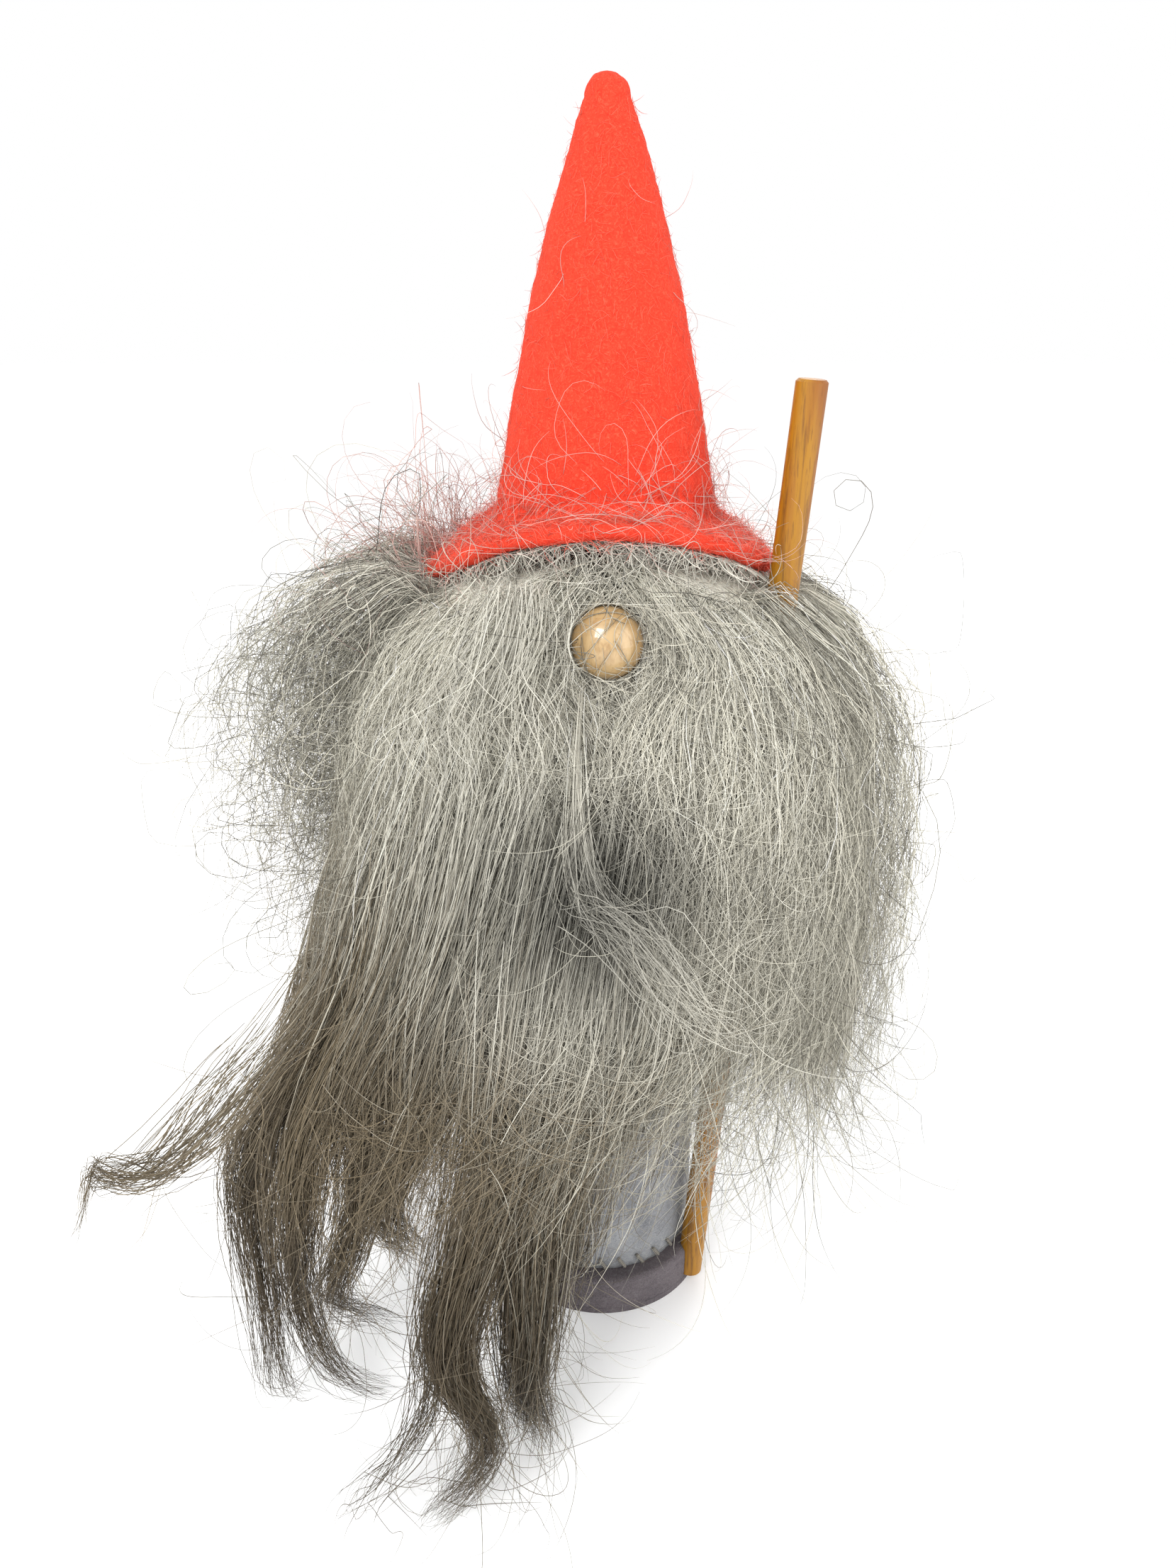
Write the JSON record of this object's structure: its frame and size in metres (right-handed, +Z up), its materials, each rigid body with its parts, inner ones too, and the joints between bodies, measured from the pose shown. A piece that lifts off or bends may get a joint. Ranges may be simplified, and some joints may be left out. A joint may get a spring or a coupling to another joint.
{
  "type": "tomte gnome figurine",
  "caption": "Standing folk-craft gnome with a tall felt hat, wooden bead nose, long fleece beard and a lift-out wooden staff.",
  "frame": {"origin": "centre of the resting face, under the body's axis", "axes": "+Z up along the body and hat; -Y towards the front, where the nose is; +X towards the staff"},
  "size_m": [0.1132, 0.1052, 0.222],
  "materials": {
    "felt_red": "matte pressed wool felt",
    "felt_grey": "matte mottled wool felt",
    "felt_dark": "matte wool felt",
    "fleece": "long straight and curly wool, soft sheen",
    "hide": "matte suede backing",
    "wadding": "loose matte wool",
    "thread": "twisted cotton thread",
    "card": "matte greyboard",
    "wood_pale": "plain sanded",
    "wood_varnished": "clear gloss varnish",
    "wood_stained": "honey stain, satin",
    "steel": "zinc plated"
  },
  "bodies": {
    "figure": {"sole_felt": "felt_dark", "base_disc": "wood_pale", "base_cover": "felt_dark", "post_screw": "steel", "ballast_washers": "steel", "core_post": "wood_pale", "head_ball": "wood_pale", "body_wadding": "wadding", "body_felt": "felt_grey", "nose_peg": "wood_pale", "nose_bead": "wood_varnished", "beard_pelt": "hide", "hair_pelt": "hide", "beard_fleece": "fleece", "hair_fleece": "fleece", "staff_loop": "felt_grey", "seam_stitches": "thread", "hem_stitches": "thread", "pelt_stitches": "thread"},
    "hat_form": {"card_cone": "card", "tip_wadding": "wadding"},
    "hat": {"hat_felt": "felt_red"},
    "staff": {"staff": "wood_stained"}
  },
  "joints": [
    {"name": "hat_turn", "type": "hinge", "parent": "figure", "child": "hat_form", "pos_m": [0, 0, 0.158], "axis": [0, 0, 1], "range_deg": [-30, 30]},
    {"name": "hat_lift", "type": "slide", "parent": "hat_form", "child": "hat", "axis": [0, 0, 1], "range_m": [0, 0.08]},
    {"name": "staff_lift", "type": "slide", "parent": "figure", "child": "staff", "axis": [0.0701, -0.0241, 0.9973], "range_m": [0, 0.12]}
  ]
}
